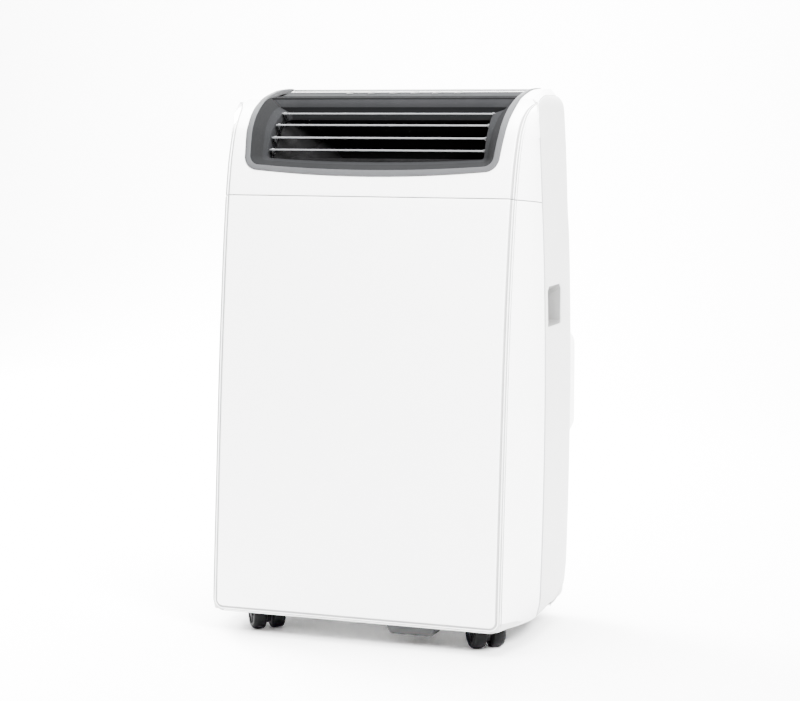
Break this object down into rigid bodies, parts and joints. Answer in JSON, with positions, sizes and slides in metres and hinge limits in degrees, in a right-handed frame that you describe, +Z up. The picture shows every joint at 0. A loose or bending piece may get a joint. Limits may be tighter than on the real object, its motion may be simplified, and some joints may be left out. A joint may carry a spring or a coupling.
{
  "type": "portable air conditioner",
  "caption": "Tall rounded floor-standing air conditioner on twin-wheel casters, with a sloping louvred outlet, top controls, rear filter and a rear exhaust port.",
  "frame": {"origin": "on the floor, under the centre of the bounding box, exhaust housing included", "axes": "+Z up; -Y the front with the air outlet; +Y the back with filter and exhaust; +X to the right as seen from the front"},
  "size_m": [0.4368, 0.3, 0.7],
  "materials": {
    "white_cover": "satin, very light grain",
    "light_grey_plastic": "satin",
    "grey_trim": "silver-grey satin",
    "dark_window": "gloss",
    "black_plastic": "matt",
    "duct_foam": "matt",
    "sheet_steel": "galvanised",
    "black_paint": "semi-gloss",
    "copper": "drawn tube",
    "fins": "fine fins",
    "filter_cloth": "open nylon mesh",
    "rubber": "matt",
    "circuit_board": "satin",
    "caster_tread": "satin nylon"
  },
  "bodies": {
    "housing": {"accumulator": "black_paint", "air_duct": "duct_foam", "base_pan": "light_grey_plastic", "capacitor": "sheet_steel", "circuit_board": "circuit_board", "compressor": "black_paint", "condenser_coil": "fins", "condenser_motor": "sheet_steel", "condenser_scroll": "light_grey_plastic", "control_box": "sheet_steel", "control_panel": "light_grey_plastic", "cord_gland": "rubber", "discharge_pipe": "copper", "display_window": "dark_window", "drain_sump": "light_grey_plastic", "evaporator_coil": "fins", "evaporator_motor": "sheet_steel", "evaporator_scroll": "light_grey_plastic", "exhaust_collar": "grey_trim", "exhaust_duct": "duct_foam", "exhaust_housing": "white_cover", "front_panel": "white_cover", "handle_cup_left": "white_cover", "handle_cup_right": "white_cover", "liquid_pipe": "copper", "louvre_motor": "sheet_steel", "lower_grille": "white_cover", "outlet_bezel": "grey_trim", "partition_deck": "light_grey_plastic", "rear_shell": "white_cover", "suction_pipe": "copper", "top_cover": "white_cover", "upper_front_cover": "white_cover"},
    "filter": {"filter_frame": "white_cover", "filter_mesh": "filter_cloth"},
    "caster_hood_front_left": {"caster_hood_front_left": "black_plastic"},
    "caster_hood_front_right": {"caster_hood_front_right": "black_plastic"},
    "caster_hood_rear_left": {"caster_hood_rear_left": "black_plastic"},
    "caster_hood_rear_right": {"caster_hood_rear_right": "black_plastic"},
    "caster_wheels_front_left": {"caster_wheels_front_left": "caster_tread"},
    "caster_wheels_front_right": {"caster_wheels_front_right": "caster_tread"},
    "caster_wheels_rear_left": {"caster_wheels_rear_left": "caster_tread"},
    "caster_wheels_rear_right": {"caster_wheels_rear_right": "caster_tread"},
    "condenser_blower": {"condenser_blower": "black_plastic"},
    "evaporator_blower": {"evaporator_blower": "black_plastic"},
    "fan_speed_button": {"fan_speed_button": "light_grey_plastic"},
    "louvre_1": {"louvre_1": "light_grey_plastic"},
    "louvre_2": {"louvre_2": "light_grey_plastic"},
    "louvre_3": {"louvre_3": "light_grey_plastic"},
    "louvre_4": {"louvre_4": "light_grey_plastic"},
    "louvre_link": {"louvre_link": "black_plastic"},
    "lower_drain_plug": {"lower_drain_plug": "rubber"},
    "mode_button": {"mode_button": "light_grey_plastic"},
    "power_button": {"power_button": "light_grey_plastic"},
    "temperature_down_button": {"temperature_down_button": "light_grey_plastic"},
    "temperature_up_button": {"temperature_up_button": "light_grey_plastic"},
    "timer_button": {"timer_button": "light_grey_plastic"},
    "upper_drain_plug": {"upper_drain_plug": "rubber"}
  },
  "joints": [
    {"name": "power_press", "type": "slide", "parent": "housing", "child": "power_button", "axis": [0, 0.1753, -0.9845], "range_m": [0, 0.001], "stiffness_N_per_m": 300},
    {"name": "mode_press", "type": "slide", "parent": "housing", "child": "mode_button", "axis": [0, 0.1753, -0.9845], "range_m": [0, 0.001], "stiffness_N_per_m": 300},
    {"name": "fan_speed_press", "type": "slide", "parent": "housing", "child": "fan_speed_button", "axis": [0, 0.1753, -0.9845], "range_m": [0, 0.001], "stiffness_N_per_m": 300},
    {"name": "timer_press", "type": "slide", "parent": "housing", "child": "timer_button", "axis": [0, 0.1753, -0.9845], "range_m": [0, 0.001], "stiffness_N_per_m": 300},
    {"name": "temperature_down_press", "type": "slide", "parent": "housing", "child": "temperature_down_button", "axis": [0, 0.1753, -0.9845], "range_m": [0, 0.001], "stiffness_N_per_m": 300},
    {"name": "temperature_up_press", "type": "slide", "parent": "housing", "child": "temperature_up_button", "axis": [0, 0.1753, -0.9845], "range_m": [0, 0.001], "stiffness_N_per_m": 300},
    {"name": "louvre_1_tilt", "type": "hinge", "parent": "housing", "child": "louvre_1", "pos_m": [0, -0.0235, 0.6675], "axis": [1, 0, 0], "range_deg": [-30, 30]},
    {"name": "louvre_2_tilt", "type": "hinge", "parent": "housing", "child": "louvre_2", "pos_m": [0, -0.0435, 0.653], "axis": [1, 0, 0], "range_deg": [-30, 30]},
    {"name": "louvre_3_tilt", "type": "hinge", "parent": "housing", "child": "louvre_3", "pos_m": [0, -0.0555, 0.637], "axis": [1, 0, 0], "range_deg": [-30, 30]},
    {"name": "louvre_4_tilt", "type": "hinge", "parent": "housing", "child": "louvre_4", "pos_m": [0, -0.063, 0.6215], "axis": [1, 0, 0], "range_deg": [-30, 30]},
    {"name": "louvre_link_pin", "type": "hinge", "parent": "louvre_1", "child": "louvre_link", "pos_m": [0, -0.01784, 0.66184], "axis": [1, 0, 0], "range_deg": [-30, 30]},
    {"name": "evaporator_blower_spin", "type": "hinge", "parent": "housing", "child": "evaporator_blower", "pos_m": [0, -0.003, 0.505], "axis": [0, 1, 0], "continuous": true},
    {"name": "condenser_blower_spin", "type": "hinge", "parent": "housing", "child": "condenser_blower", "pos_m": [-0.06, 0.017, 0.21], "axis": [0, 1, 0], "continuous": true},
    {"name": "filter_pull", "type": "slide", "parent": "housing", "child": "filter", "axis": [0, 1, 0], "range_m": [0, 0.06]},
    {"name": "upper_drain_plug_pull", "type": "slide", "parent": "housing", "child": "upper_drain_plug", "axis": [0, 1, 0], "range_m": [0, 0.025]},
    {"name": "lower_drain_plug_pull", "type": "slide", "parent": "housing", "child": "lower_drain_plug", "axis": [0, 1, 0], "range_m": [0, 0.025]},
    {"name": "caster_front_left_swivel", "type": "hinge", "parent": "housing", "child": "caster_hood_front_left", "pos_m": [-0.15, -0.0875, 0.045], "axis": [0, 0, 1], "continuous": true},
    {"name": "caster_front_left_roll", "type": "hinge", "parent": "caster_hood_front_left", "child": "caster_wheels_front_left", "pos_m": [-0.13817, -0.10237, 0.02], "axis": [0.7826, 0.6225, 0], "continuous": true},
    {"name": "caster_front_right_swivel", "type": "hinge", "parent": "housing", "child": "caster_hood_front_right", "pos_m": [0.15, -0.0875, 0.045], "axis": [0, 0, 1], "continuous": true},
    {"name": "caster_front_right_roll", "type": "hinge", "parent": "caster_hood_front_right", "child": "caster_wheels_front_right", "pos_m": [0.16183, -0.10237, 0.02], "axis": [0.7826, 0.6225, 0], "continuous": true},
    {"name": "caster_rear_left_swivel", "type": "hinge", "parent": "housing", "child": "caster_hood_rear_left", "pos_m": [-0.14, 0.05, 0.045], "axis": [0, 0, 1], "continuous": true},
    {"name": "caster_rear_left_roll", "type": "hinge", "parent": "caster_hood_rear_left", "child": "caster_wheels_rear_left", "pos_m": [-0.12817, 0.03513, 0.02], "axis": [0.7826, 0.6225, 0], "continuous": true},
    {"name": "caster_rear_right_swivel", "type": "hinge", "parent": "housing", "child": "caster_hood_rear_right", "pos_m": [0.14, 0.05, 0.045], "axis": [0, 0, 1], "continuous": true},
    {"name": "caster_rear_right_roll", "type": "hinge", "parent": "caster_hood_rear_right", "child": "caster_wheels_rear_right", "pos_m": [0.15183, 0.03513, 0.02], "axis": [0.7826, 0.6225, 0], "continuous": true}
  ],
  "couplings": [
    {"joint": "louvre_2_tilt", "follows": "louvre_1_tilt", "ratio": 1},
    {"joint": "louvre_3_tilt", "follows": "louvre_1_tilt", "ratio": 1},
    {"joint": "louvre_4_tilt", "follows": "louvre_1_tilt", "ratio": 1},
    {"joint": "louvre_link_pin", "follows": "louvre_1_tilt", "ratio": -1}
  ]
}
